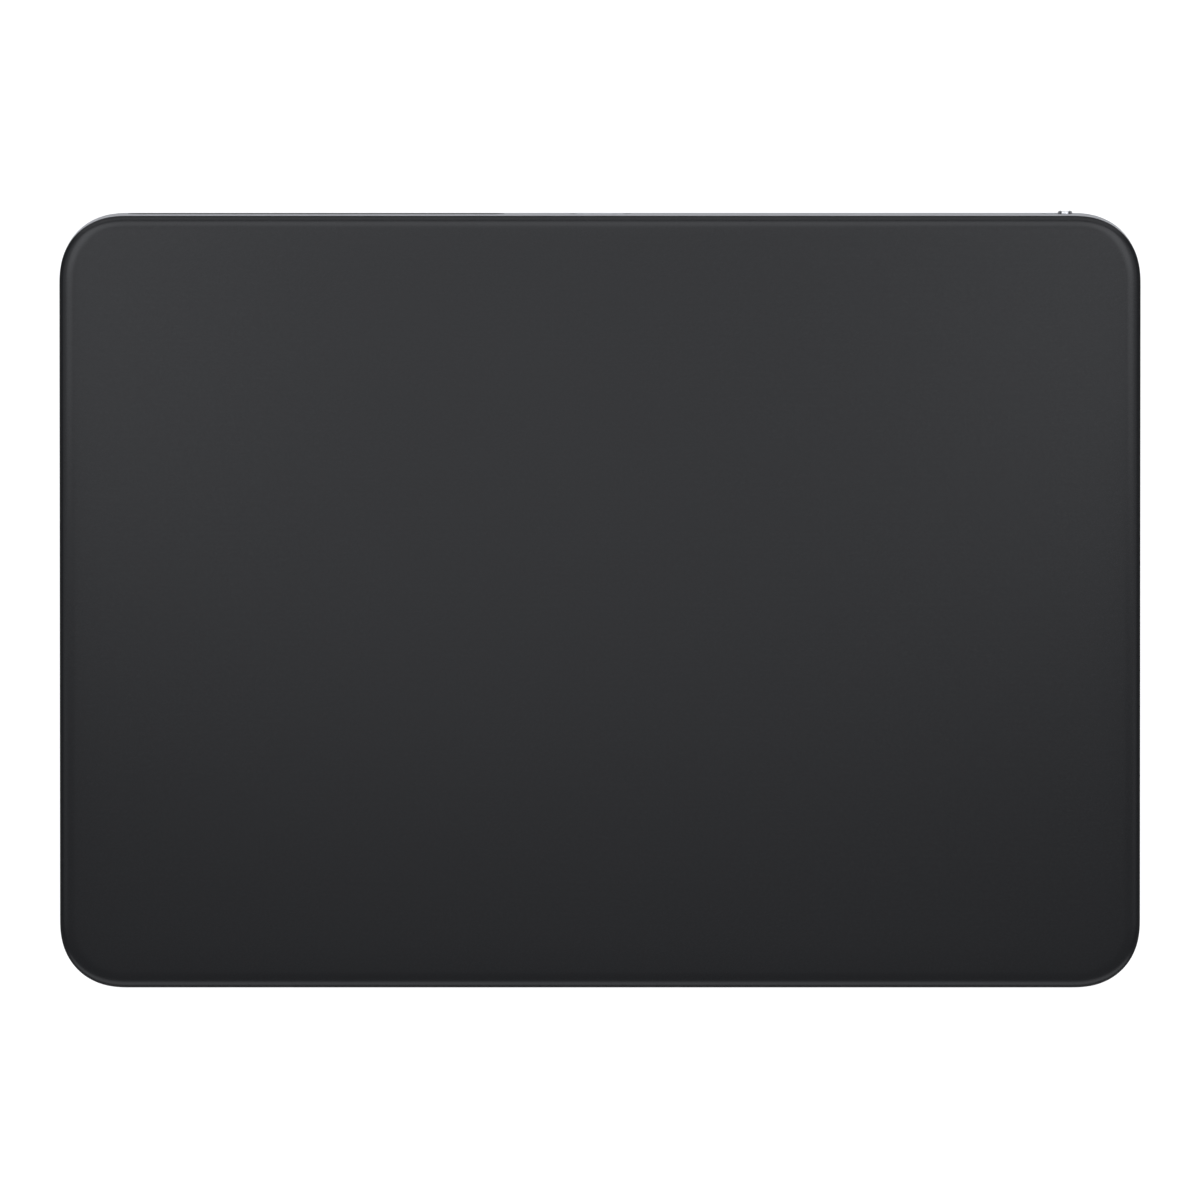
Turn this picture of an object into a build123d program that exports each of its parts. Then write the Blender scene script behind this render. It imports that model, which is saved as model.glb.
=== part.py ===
"""Wedge-shaped wireless trackpad: a glass touch surface on four flexures in a one-piece aluminium tray.

Millimetres. +X runs to the right, +Y to the back edge with the port, +Z up from the table.
The origin is on the table, under the middle of the trackpad.
"""

import os
from math import cos, radians, sin, tan

from build123d import *

os.makedirs("parts", exist_ok=True)

# Overall size
overall_width = 160.0
overall_depth = 114.9
front_height = 4.9
slope = 3.0
overrun = 0.3

# Corners of the plan outline: reach along each side, and where the curve's inner points lie on that reach
corner_reach = 10.4
corner_near_share = 0.28
corner_far_share = 0.65
corner_shrink_share = 1.14

# Feet
foot_radius = 5.5
foot_drop = 0.6
foot_recess = 0.3
foot_gap = 0.1
foot_chamfer = 0.25
foot_inset = 14.5

# Tray
tray_wall = 1.6
tray_floor = 0.9
tray_bottom_chamfer = 0.5
tray_rim_chamfer = 0.15

# Touch module, from the top down
glass_thickness = 1.0
glass_roll_drop = 0.55
glass_roll_width = 1.2
glass_roll_top_radius = 2.4
glass_roll_side_radius = 0.5
glass_foot_chamfer = 0.1
seam_gap = 0.35
adhesive_thickness = 0.15
adhesive_inset = 3.0
sensor_board_thickness = 0.8
stiffener_thickness = 0.5
module_side_gap = 0.6

# Flexures that carry the touch module, and the posts under them
flexure_thickness = 0.25
flexure_rise = 0.35
flexure_width = 7.0
flexure_waist = 3.6
flexure_fixed_length = 9.5
flexure_flat = 4.4
flexure_ramp = 2.4
flexure_moving_length = 6.5
flexure_bend = 0.8
flexure_corner = 0.8
gauge_length = 3.4
gauge_width = 2.6
gauge_thickness = 0.08
post_width = 8.0
post_overlap = 0.5
post_margin = 0.75

# Heads of the small screws, and the nuts on the flexures
screw_head_radius = 1.25
screw_head_height = 0.5
flexure_nut_spacing = 5.0
nut_radius = 1.5
nut_height = 0.55
nut_gap = 0.4

# Main board, whose ends keep clear of the posts; its parts lie at shares of its half length
board_post_gap = 1.5
board_width = 11.0
board_thickness = 0.8
board_corner = 0.8
board_lift = 1.1
board_back_gap = 4.2
board_boss_radius = 2.25
board_screw_shares = (0.24, 0.889)
board_screw_back_inset = 3.0

# Parts on the main board
shield_length_share = 0.145
shield_width = 7.5
shield_height = 1.5
shield_wall = 0.2
shield_margin = 0.5
shield_corner = 0.6
shield_share = -0.684
chip_margin = 1.0
radio_chip_side = 5.0
radio_chip_height = 0.8
control_chip_side = 7.0
control_chip_height = 0.9
control_chip_share = -0.376
power_chip_side = 4.0
power_chip_height = 0.8
power_chip_share = 0.162
driver_chip_side = 4.0
driver_chip_height = 0.8
driver_chip_share = 0.86
capacitor_length = 0.8
capacitor_width = 1.6
capacitor_height = 0.8
capacitor_pitch = 1.7
capacitor_count = 6
capacitor_share = 0.38
capacitor_back_inset = 2.0

# Port: a reversible oval receptacle
port_width = 8.94
port_height = 3.26
port_shell_wall = 0.3
port_length = 7.6
port_sink = 0.6
port_gap = 0.15
port_recess = 0.35
port_base_length = 2.4
port_base_gap = 0.04
tongue_width = 6.7
tongue_thickness = 0.7
tongue_setback = 0.7
tongue_corner = 0.15
port_wing_length = 3.0
port_wing_width = 1.2
port_wing_thickness = 0.3
contact_count = 12
contact_pitch = 0.5
contact_width = 0.26
contact_thickness = 0.08
contact_end_gap = 0.4
contact_foot = 0.5
contact_lower_tail = 0.5
contact_upper_tail = 1.4
board_notch_gap = 0.25

# Power switch: a knob that slides in a slot of the back wall
switch_slot_length = 4.8
switch_slot_height = 2.2
switch_slot_end_inset = 9.9
switch_travel = 2.4
switch_slot_gap = 0.12
switch_knob_proud = 0.45
switch_knob_round = 0.3
switch_wall_left = 0.9
switch_skirt_gap = 0.16
switch_skirt_thickness = 0.5
switch_skirt_height = 3.4
switch_skirt_corner = 0.4
switch_skirt_lap = 0.4
switch_indicator_length = 2.3
switch_indicator_height = 2.6
switch_indicator_gap = 0.15
switch_indicator_thickness = 0.06
switch_body_depth = 2.9
switch_body_height = 4.0
switch_body_corner = 0.3
switch_body_gap = 0.15
switch_side_gap = 0.3
switch_leg_width = 1.4
switch_leg_height = 1.2
switch_leg_length = 1.4
switch_leg_gap = 0.2
switch_wiper_length = 2.0
switch_wiper_height = 0.8
switch_wiper_thickness = 0.2
switch_post_gap = 0.5
switch_flange_lap = 0.6
switch_screw_inset = 1.6
switch_terminal_count = 3
switch_terminal_width = 0.6
switch_terminal_pitch = 1.4
switch_terminal_thickness = 0.12
switch_terminal_reach = 0.7
switch_flex_end_lap = 0.4
switch_flex_width = 1.8
switch_flex_lap = 3.4
ribbon_thickness = 0.15

# Antenna behind its window in the back wall
window_height = 4.3
window_end_inset = 10.0
window_port_gap = 14.1
window_gap = 0.05
window_glue = 0.03
window_flange_lap = 0.6
window_flange_thickness = 0.5
antenna_board_thickness = 0.4
antenna_board_inset = 2.0
antenna_board_height = 3.4
coax_radius = 0.4
coax_gap = 0.05
coax_seat = 0.5
coax_plug_radius = 1.3
coax_plug_height = 1.2
coax_plug_share = -0.486
coax_run = 9.0
coax_plug_back_inset = 2.4

# Battery of two pouch cells, which fill the room between the posts, the engine and the main board
cell_post_gap = 3.5
cell_engine_gap = 3.75
cell_thickness = 3.6
cell_corner = 1.5
cell_edge_chamfer = 0.5
cell_gap = 3.0
cell_terrace = 3.4
cell_terrace_thickness = 0.5
cell_terrace_inset = 1.5
cell_clear_of_board = 1.4
tape_thickness = 0.1
tape_margin = 3.0
tab_length = 2.8
tab_width = 3.0
tab_thickness = 0.1
tab_spacing = 24.0
guard_board_thickness = 0.6
guard_board_margin = 4.0
guard_board_width = 2.8
guard_board_gap = 0.3
guard_chip_length = 4.0
guard_chip_width = 1.8
guard_chip_height = 0.7
guard_chip_x = 10.0
plug_length = 5.0
plug_width = 2.6
plug_height = 1.2
plug_share = 0.462
plug_gap = 0.1
socket_lip = 0.4
socket_front_inset = 0.6
lead_radius = 0.35
lead_pitch = 1.2
lead_count = 3

# Ribbon from the sensor board to the main board
ribbon_width = 10.0
ribbon_share = 0.667
ribbon_socket_length = 12.0
ribbon_socket_width = 2.6
ribbon_socket_height = 1.0
ribbon_socket_inset = 2.4
ribbon_slot_gap = 0.15
ribbon_seat = 1.2
ribbon_lead_in = 0.2
ribbon_lap = 4.0
ribbon_window_gap = 1.0
ribbon_window_length = 11.0

# Touch chips under the sensor board, in windows of the stiffener
touch_chip_side = 8.0
touch_chip_height = 0.9
touch_chip_gap = 1.2
touch_chip_places = ((-26.0, 24.0), (26.0, 24.0))

# Haptic engine under the stiffener
engine_length = 44.0
engine_width = 13.0
engine_y = -2.0
engine_base_thickness = 0.4
engine_base_corner = 1.0
engine_ear_length = 4.5
engine_screw_inset = 2.2
engine_screw_spacing_y = 8.0
engine_can_wall = 0.25
engine_can_height = 2.55
engine_can_corner = 1.0
coil_width = 11.0
coil_wire_band = 3.2
coil_corner = 3.6
coil_thickness = 0.5
weight_end_gap = 7.0
weight_width = 11.0
weight_thickness = 1.5
weight_coil_gap = 0.15
weight_corner = 1.0
magnet_length = 6.0
magnet_width = 8.0
magnet_thickness = 1.1
magnet_spacing = 12.0
magnet_gap = 0.05
spring_thickness = 0.15
spring_height = 1.2
spring_swing = 4.2
spring_bend = 0.6
spring_seat = 2.2
engine_flex_width = 3.0
engine_flex_thickness = 0.1
engine_flex_gap = 0.3
engine_flex_lap = 1.6
engine_flex_run = 3.4
engine_flex_bend = 0.5

# Angle of the glass, and where its top plane lies
tilt = radians(slope)
rise = tan(tilt)
tray_bottom = foot_drop
floor_top = tray_bottom + tray_floor
glass_width = overall_width
glass_length = (overall_depth - (front_height - tray_bottom) * rise) * cos(tilt)
glass_middle_y = glass_length / 2 * cos(tilt) - overall_depth / 2
glass_middle_height = front_height + glass_length / 2 * sin(tilt)
back_height = front_height + glass_length * sin(tilt)
prism_drop = back_height + overrun
glass_plane = Plane(
    origin=(0, glass_middle_y, glass_middle_height),
    x_dir=(1, 0, 0),
    z_dir=(0, -sin(tilt), cos(tilt)),
)

# Depths below the top of the glass, measured square to it
rim_depth = glass_thickness + seam_gap
sensor_top_depth = glass_thickness + adhesive_thickness
sensor_bottom_depth = sensor_top_depth + sensor_board_thickness
stiffener_bottom_depth = sensor_bottom_depth + stiffener_thickness
flexure_top_depth = stiffener_bottom_depth + flexure_rise
post_top_depth = flexure_top_depth + flexure_thickness


def across_glass(y, height):
    """Place along the glass's slope of the point at y and height, seen square to the glass."""
    return (y - glass_middle_y) * cos(tilt) + (height - glass_middle_height) * sin(tilt)


def height_at(y, depth):
    """Height above the table, at y, of the plane that lies this depth under the glass's top."""
    return glass_middle_height + (y - glass_middle_y) * rise - depth / cos(tilt)


def back_wall_y(height, inset):
    """y of the back wall at this height, this far inside its outer face."""
    outer = glass_middle_y + glass_length / (2 * cos(tilt)) - (height - glass_middle_height) * rise
    return outer - inset / cos(tilt)


def under_glass(depth):
    """Plane parallel to the glass, this depth under its top."""
    return glass_plane.offset(-depth)


def under_glass_facing_down(depth):
    """The same plane turned over, so that its y runs to the front."""
    return Plane(origin=under_glass(depth).origin, x_dir=(1, 0, 0), z_dir=-glass_plane.z_dir)


def beside_glass(x):
    """Upright plane at this x: its own x runs up the slope, its own y is the height above the glass's top."""
    return Plane(
        origin=(x, glass_middle_y, glass_middle_height),
        x_dir=(0, cos(tilt), sin(tilt)),
        z_dir=(1, 0, 0),
    )


def square_to(plane):
    """Axis through the plane's origin, square to it."""
    return Axis(plane.origin, plane.z_dir)


def level(height):
    """Horizontal plane at this height above the table."""
    return Plane.XY.offset(height)


def soft_rectangle(width, length, reach):
    """Outline of a rectangle whose corners turn with a steady change of curvature, each over this reach."""
    headings = (Vector(1, 0), Vector(0, 1), Vector(-1, 0), Vector(0, -1))
    corners = (
        Vector(width / 2, -length / 2),
        Vector(width / 2, length / 2),
        Vector(-width / 2, length / 2),
        Vector(-width / 2, -length / 2),
    )
    shares = (1, 1 - corner_near_share, 1 - corner_far_share)
    with BuildSketch() as outline:
        with BuildLine():
            for i, corner in enumerate(corners):
                arriving = headings[i]
                leaving = headings[(i + 1) % len(headings)]
                into = [corner - arriving * (reach * share) for share in shares]
                out = [corner + leaving * (reach * share) for share in reversed(shares)]
                Bezier(*into, *out)
                following = corners[(i + 1) % len(corners)]
                Line(out[-1], following - leaving * reach)
        make_face()
    return outline.sketch


def inset_outline(inset):
    """The trackpad's plan outline, drawn in on all sides by the inset."""
    return soft_rectangle(
        glass_width - 2 * inset,
        glass_length - 2 * inset,
        corner_reach - corner_shrink_share * inset,
    )


def double_bend(start, end, heading):
    """Path of two equal arcs that leaves the start and reaches the end along the same heading."""
    middle = (start + end) / 2
    with BuildLine() as path:
        first = TangentArc(start, middle, tangent=heading)
        TangentArc(middle, end, tangent=first % 1)
    return path.line


def hexagons(seat, places, radius, height):
    """Nuts or screw heads that stand on the seat plane; what they hide below it is left out."""
    with BuildPart() as made:
        with BuildSketch(seat):
            with Locations(*places):
                RegularPolygon(radius, side_count=6)
        extrude(amount=height)
    return made


def save(piece, name):
    """Labels a finished piece and writes its STEP file."""
    piece.part.label = name
    export_step(piece.part, f"parts/{name}.step")


# Places that several pieces share
foot_x = overall_width / 2 - foot_inset
foot_y = overall_depth / 2 - foot_inset
foot_top = tray_bottom + foot_recess
foot_places = {
    "front_left": (-foot_x, -foot_y),
    "front_right": (foot_x, -foot_y),
    "back_left": (-foot_x, foot_y),
    "back_right": (foot_x, foot_y),
}
post_places = {name: (x, across_glass(y, tray_bottom)) for name, (x, y) in foot_places.items()}
flexure_nut_places = [
    (x + side * flexure_nut_spacing / 2, y) for x, y in post_places.values() for side in (-1, 1)
]
pocket_half_width = glass_width / 2 - tray_wall
post_inner_x = foot_x - flexure_fixed_length / 2 - post_margin
post_outer_x = pocket_half_width + post_overlap
board_length = 2 * (post_inner_x - board_post_gap)


def along_board(share):
    """x of the place at this share of the main board's half length."""
    return share * board_length / 2


board_bottom = floor_top + board_lift
board_top = board_bottom + board_thickness
line_height = board_top - port_sink + port_height / 2
board_back_y = back_wall_y(line_height, board_back_gap)
board_front_y = board_back_y - board_width
board_middle_y = (board_front_y + board_back_y) / 2
board_screw_y = board_back_y - board_screw_back_inset
board_screw_places = [
    (side * along_board(share), board_screw_y) for share in board_screw_shares for side in (-1, 1)
]

# Power switch: its places along the slot, and the plane of the leaning back wall seen from behind
switch_slot_end_x = overall_width / 2 - switch_slot_end_inset
switch_slot_x = switch_slot_end_x - switch_slot_length / 2
switch_knob_length = switch_slot_length - switch_travel - 2 * switch_slot_gap
switch_knob_x = switch_slot_end_x - switch_slot_gap - switch_knob_length / 2
switch_skirt_half = switch_slot_gap + switch_knob_length / 2 + switch_travel + switch_skirt_lap
switch_skirt_inset = switch_wall_left + switch_skirt_gap
switch_body_x = switch_knob_x - switch_travel / 2
switch_body_length = 2 * switch_skirt_half + switch_travel
switch_body_back_inset = switch_skirt_inset + switch_skirt_thickness + switch_body_gap
switch_body_front_y = back_wall_y(line_height, switch_body_back_inset + switch_body_depth)
switch_flange_front_y = foot_y + post_width / 2 + switch_post_gap
switch_screw_y = switch_flange_front_y + switch_screw_inset
switch_screw_places = [
    (switch_body_x + side * (switch_body_length / 2 - switch_screw_inset), switch_screw_y) for side in (-1, 1)
]


low_screw_places = board_screw_places + switch_screw_places


def back_wall_plane(x, inset):
    """Plane on the leaning back wall, level with the port, this far inside it, as seen from behind."""
    outer = Plane(
        origin=(x, back_wall_y(line_height, 0), line_height),
        x_dir=(-1, 0, 0),
        z_dir=(0, cos(tilt), sin(tilt)),
    )
    return outer.offset(-inset)


# Tray: the pocket that it is milled out to, and the four posts that carry the flexures
with BuildPart() as pocket:
    with BuildSketch(under_glass(rim_depth - overrun)):
        add(inset_outline(tray_wall))
    extrude(amount=-prism_drop)
    split(bisect_by=level(floor_top), keep=Keep.TOP)

with BuildPart() as posts:
    with BuildSketch(under_glass(post_top_depth)):
        for name, (x, y) in post_places.items():
            side = 1 if x > 0 else -1
            with Locations((side * (post_inner_x + post_outer_x) / 2, y)):
                Rectangle(post_outer_x - post_inner_x, post_width)
    extrude(amount=-prism_drop)
    split(bisect_by=level(floor_top - overrun), keep=Keep.TOP)

window_length = overall_width / 2 - window_end_inset - window_port_gap
window_middle_x = window_length / 2 + window_end_inset - overall_width / 2
switch_relief_depth = tray_wall + switch_body_depth
with BuildPart() as enclosure_tray:
    with BuildSketch(under_glass(rim_depth)):
        add(inset_outline(0))
    extrude(amount=-prism_drop)
    split(bisect_by=level(tray_bottom), keep=Keep.TOP)
    chamfer(enclosure_tray.faces().sort_by(Axis.Z)[0].edges(), tray_bottom_chamfer)
    chamfer(enclosure_tray.faces().sort_by(Axis.Z)[-1].edges(), tray_rim_chamfer)
    add(pocket.part, mode=Mode.SUBTRACT)
    add(posts.part)
    # Bosses under the main board and the switch
    with BuildSketch(level(floor_top)):
        with Locations(*low_screw_places):
            Circle(board_boss_radius)
    extrude(amount=board_lift)
    # Round recesses for the feet
    with BuildSketch(level(tray_bottom)):
        with Locations(*foot_places.values()):
            Circle(foot_radius + foot_gap)
    extrude(amount=foot_recess, mode=Mode.SUBTRACT)
    # Slot of the switch, with the wall thinned behind it for the knob's skirt
    with BuildSketch(back_wall_plane(switch_slot_x, switch_wall_left + overrun)):
        SlotOverall(switch_slot_length, switch_slot_height)
    extrude(amount=switch_wall_left + 2 * overrun, mode=Mode.SUBTRACT)
    with BuildSketch(back_wall_plane(switch_body_x, switch_wall_left)):
        Rectangle(switch_body_length + 2 * switch_side_gap, switch_body_height + 2 * switch_side_gap)
    extrude(amount=-switch_relief_depth, mode=Mode.SUBTRACT)
    # Slot of the antenna window
    with BuildSketch(back_wall_plane(window_middle_x, tray_wall + overrun)):
        SlotOverall(window_length, window_height)
    extrude(amount=tray_wall + 2 * overrun, mode=Mode.SUBTRACT)
    # Hole of the port, which lies level
    with BuildSketch(Plane(origin=(0, board_back_y, line_height), x_dir=(-1, 0, 0), z_dir=(0, 1, 0))):
        SlotOverall(port_width + 2 * port_gap, port_height + 2 * port_gap)
    extrude(amount=board_back_gap + 2 * overrun, mode=Mode.SUBTRACT)
save(enclosure_tray, "enclosure_tray")

# Feet: rubber discs in the recesses
for name, (x, y) in foot_places.items():
    with BuildPart() as foot:
        with BuildSketch(level(0)):
            with Locations((x, y)):
                Circle(foot_radius)
        extrude(amount=foot_top)
        chamfer(foot.faces().sort_by(Axis.Z)[0].edges(), foot_chamfer)
    save(foot, f"foot_{name}")


# Antenna window: a plastic plug in the back wall with a flange behind it
window_flange_inset = tray_wall + window_glue
antenna_board_back_inset = window_flange_inset + window_flange_thickness
antenna_board_front_inset = antenna_board_back_inset + antenna_board_thickness
with BuildPart() as antenna_window:
    with BuildSketch(back_wall_plane(window_middle_x, 0)):
        SlotOverall(window_length - 2 * window_gap, window_height - 2 * window_gap)
    extrude(amount=-window_flange_inset)
    with BuildSketch(back_wall_plane(window_middle_x, window_flange_inset)):
        SlotOverall(window_length + 2 * window_flange_lap, window_height + 2 * window_flange_lap)
    extrude(amount=-window_flange_thickness)
save(antenna_window, "antenna_window")

with BuildPart() as antenna_board:
    with BuildSketch(back_wall_plane(window_middle_x, antenna_board_back_inset)):
        Rectangle(window_length - 2 * antenna_board_inset, antenna_board_height)
    extrude(amount=-antenna_board_thickness)
save(antenna_board, "antenna_board")

# Antenna lead: a thin coaxial cable between a plug on the antenna board and one on the main board
coax_plug_x = along_board(coax_plug_share)
antenna_plug_x = coax_plug_x - coax_run
coax_start = back_wall_plane(
    antenna_plug_x + coax_seat,
    antenna_board_front_inset + coax_plug_height / 2,
).origin
coax_end = Vector(
    coax_plug_x - coax_seat,
    board_back_y - coax_plug_back_inset,
    board_top + coax_plug_height / 2,
)
with BuildPart() as coax_plugs:
    with BuildSketch(back_wall_plane(antenna_plug_x, antenna_board_front_inset)):
        Circle(coax_plug_radius)
    extrude(amount=-coax_plug_height)
    with BuildSketch(level(board_top)):
        with Locations((coax_plug_x, coax_end.Y)):
            Circle(coax_plug_radius)
    extrude(amount=coax_plug_height)
    for seat, outward in ((coax_start, 1), (coax_end, -1)):
        with BuildSketch(Plane(origin=seat, z_dir=(outward, 0, 0))):
            Circle(coax_radius + coax_gap)
        extrude(amount=coax_plug_radius, mode=Mode.SUBTRACT)
save(coax_plugs, "coax_plugs")

with BuildPart() as coax_lead:
    with BuildSketch(Plane(origin=coax_start, z_dir=(1, 0, 0))):
        RegularPolygon(coax_radius, side_count=6)
    sweep(path=double_bend(coax_start, coax_end, Vector(1, 0, 0)))
save(coax_lead, "coax_lead")

# Glass with a rolled top edge
with BuildPart() as glass:
    with BuildSketch(glass_plane):
        add(inset_outline(0))
    extrude(amount=-glass_thickness)
    top = glass.faces().sort_by(square_to(glass_plane))[-1]
    chamfer(top.edges(), glass_roll_width, glass_roll_drop, reference=top)
    side_edges = glass.edges().filter_by_position(
        square_to(glass_plane),
        -glass_roll_drop - overrun / 2,
        -glass_roll_drop + overrun / 2,
    )
    fillet(side_edges, glass_roll_side_radius)
    fillet(glass.faces().sort_by(square_to(glass_plane))[-1].edges(), glass_roll_top_radius)
    chamfer(glass.faces().sort_by(square_to(glass_plane))[0].edges(), glass_foot_chamfer)
save(glass, "glass")

with BuildPart() as glass_adhesive:
    with BuildSketch(under_glass(glass_thickness)):
        add(inset_outline(adhesive_inset))
    extrude(amount=-adhesive_thickness)
save(glass_adhesive, "glass_adhesive")

with BuildPart() as sensor_board:
    with BuildSketch(under_glass(sensor_top_depth)):
        add(inset_outline(tray_wall + module_side_gap))
    extrude(amount=-sensor_board_thickness)
save(sensor_board, "sensor_board")

with BuildPart() as touch_chips:
    with BuildSketch(under_glass(sensor_bottom_depth)):
        with Locations(*touch_chip_places):
            Rectangle(touch_chip_side, touch_chip_side)
    extrude(amount=-touch_chip_height)
save(touch_chips, "touch_chips")

# Stiffener under the sensor board, with windows for the chips, the nuts, the ribbon and the engine's flex
engine_base_length = engine_length + 2 * engine_ear_length
engine_screw_places = [
    (side * (engine_base_length / 2 - engine_screw_inset), engine_y + row * engine_screw_spacing_y / 2)
    for side in (-1, 1)
    for row in (-1, 1)
]
engine_back_y = engine_y + engine_width / 2
engine_window_length = engine_flex_run + engine_flex_lap
ribbon_socket_front_y = board_front_y + ribbon_socket_inset
ribbon_x = along_board(ribbon_share)
ribbon_leave_y = ribbon_socket_front_y - ribbon_lead_in
ribbon_far_y = ribbon_leave_y + ribbon_lap
ribbon_window_end = across_glass(ribbon_far_y + ribbon_window_gap, back_height)
ribbon_window_y = ribbon_window_end - ribbon_window_length / 2
with BuildPart() as stiffener:
    with BuildSketch(under_glass(sensor_bottom_depth)):
        add(inset_outline(tray_wall + module_side_gap))
        with Locations(*flexure_nut_places):
            RegularPolygon(nut_radius + nut_gap, side_count=6, mode=Mode.SUBTRACT)
        with Locations(*touch_chip_places):
            window_side = touch_chip_side + 2 * touch_chip_gap
            Rectangle(window_side, window_side, mode=Mode.SUBTRACT)
        with Locations((ribbon_x, ribbon_window_y)):
            window_width = ribbon_width + 2 * ribbon_window_gap
            Rectangle(window_width, ribbon_window_length, mode=Mode.SUBTRACT)
        with Locations((0, engine_back_y + engine_flex_gap + engine_window_length / 2)):
            window_width = engine_flex_width + 2 * touch_chip_gap
            Rectangle(window_width, engine_window_length, mode=Mode.SUBTRACT)
    extrude(amount=-stiffener_thickness)
save(stiffener, "stiffener")

# Flexures: spring-steel strips from the posts up to the stiffener, each narrowed to a waist
flexure_low = flexure_top_depth + flexure_thickness / 2
flexure_high = stiffener_bottom_depth + flexure_thickness / 2
flexure_reach = flexure_width / 2 + flexure_flat + flexure_ramp
flexure_end = flexure_reach + flexure_moving_length
for name, (x, y) in post_places.items():
    inward = -1 if y > 0 else 1
    with BuildPart() as flexure:
        with BuildSketch(beside_glass(x)):
            with BuildLine():
                FilletPolyline(
                    (y - inward * flexure_width / 2, -flexure_low),
                    (y + inward * (flexure_width / 2 + flexure_flat), -flexure_low),
                    (y + inward * flexure_reach, -flexure_high),
                    (y + inward * flexure_end, -flexure_high),
                    radius=flexure_bend,
                )
            trace(line_width=flexure_thickness)
        extrude(amount=flexure_fixed_length / 2, both=True)
        with BuildSketch(glass_plane):
            with Locations((x, y)):
                RectangleRounded(flexure_fixed_length, flexure_width, flexure_corner)
            with Locations((x, y + inward * flexure_end / 2)):
                Rectangle(flexure_waist, flexure_end)
            with Locations((x, y + inward * (flexure_end - flexure_moving_length / 2))):
                RectangleRounded(flexure_width, flexure_moving_length, flexure_corner)
        extrude(amount=-prism_drop, mode=Mode.INTERSECT)
    save(flexure, f"flexure_{name}")

with BuildPart() as strain_gauges:
    with BuildSketch(under_glass(flexure_top_depth)):
        for x, y in post_places.values():
            inward = -1 if y > 0 else 1
            with Locations((x, y + inward * (flexure_width / 2 + flexure_flat / 2))):
                Rectangle(gauge_width, gauge_length)
    extrude(amount=gauge_thickness)
save(strain_gauges, "strain_gauges")

flexure_nuts = hexagons(under_glass(flexure_top_depth), flexure_nut_places, nut_radius, nut_height)
save(flexure_nuts, "flexure_nuts")

# Main board, with a notch for the port
port_mouth_y = back_wall_y(line_height, port_recess)
port_back_y = port_mouth_y - port_length
notch_depth = board_back_y - port_back_y + board_notch_gap
with BuildPart() as main_board:
    with BuildSketch(level(board_bottom)):
        with Locations((0, board_middle_y)):
            RectangleRounded(board_length, board_width, board_corner)
        with Locations((0, board_back_y - notch_depth / 2)):
            Rectangle(port_width + 2 * board_notch_gap, notch_depth, mode=Mode.SUBTRACT)
    extrude(amount=board_thickness)
save(main_board, "main_board")

board_screws = hexagons(level(board_top), low_screw_places, screw_head_radius, screw_head_height)
save(board_screws, "board_screws")

# Radio shield: a thin can over the radio chip
shield_length = shield_length_share * board_length
shield_x = along_board(shield_share)
shield_y = board_front_y + shield_margin + shield_width / 2
with BuildPart() as radio_shield:
    with BuildSketch(level(board_top)):
        with Locations((shield_x, shield_y)):
            RectangleRounded(shield_length, shield_width, shield_corner)
    extrude(amount=shield_height)
    offset(amount=-shield_wall, openings=radio_shield.faces().sort_by(Axis.Z)[0])
save(radio_shield, "radio_shield")

# Chips in a row along the board's front edge: side, height and place along the board
chips = {
    "radio_chip": (radio_chip_side, radio_chip_height, shield_share),
    "control_chip": (control_chip_side, control_chip_height, control_chip_share),
    "power_chip": (power_chip_side, power_chip_height, power_chip_share),
    "driver_chip": (driver_chip_side, driver_chip_height, driver_chip_share),
}
for name, (side, height, share) in chips.items():
    with BuildPart() as chip:
        with BuildSketch(level(board_top)):
            with Locations((along_board(share), board_front_y + chip_margin + side / 2)):
                Rectangle(side, side)
        extrude(amount=height)
    save(chip, name)

with BuildPart() as capacitors:
    with BuildSketch(level(board_top)):
        with Locations((along_board(capacitor_share), board_back_y - capacitor_back_inset)):
            with GridLocations(capacitor_pitch, 0, capacitor_count, 1):
                Rectangle(capacitor_length, capacitor_width)
    extrude(amount=capacitor_height)
save(capacitors, "capacitors")

# Port: shell with soldered wings, contacts, and the tongue that carries them
port_face = Plane(origin=(0, port_mouth_y, line_height), x_dir=(-1, 0, 0), z_dir=(0, 1, 0))
port_inner_width = port_width - 2 * port_shell_wall
port_inner_height = port_height - 2 * port_shell_wall
with BuildPart() as port_shell:
    with BuildSketch(port_face):
        SlotOverall(port_width, port_height)
    extrude(amount=-port_length)
    with BuildSketch(level(board_top)):
        with Locations((0, port_back_y + port_wing_length / 2)):
            Rectangle(port_width + 2 * port_wing_width, port_wing_length)
    extrude(amount=port_wing_thickness)
    with BuildSketch(port_face):
        SlotOverall(port_inner_width, port_inner_height)
    extrude(amount=-port_length, mode=Mode.SUBTRACT)
save(port_shell, "port_shell")

contact_offset = tongue_thickness / 2 + contact_thickness / 2
contact_tip_y = port_mouth_y - tongue_setback - contact_end_gap
contact_planes = [
    Plane.YZ.offset((i - (contact_count - 1) / 2) * contact_pitch) for i in range(contact_count)
]
with BuildPart() as port_contacts:
    for side, tail in ((1, contact_upper_tail), (-1, contact_lower_tail)):
        with BuildSketch(*contact_planes):
            with BuildLine():
                Polyline(
                    (contact_tip_y, line_height + side * contact_offset),
                    (port_back_y - tail, line_height + side * contact_offset),
                    (port_back_y - tail, board_top + contact_thickness / 2),
                    (port_back_y - tail - contact_foot, board_top + contact_thickness / 2),
                )
            trace(line_width=contact_thickness)
        extrude(amount=contact_width / 2, both=True)
save(port_contacts, "port_contacts")

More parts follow.
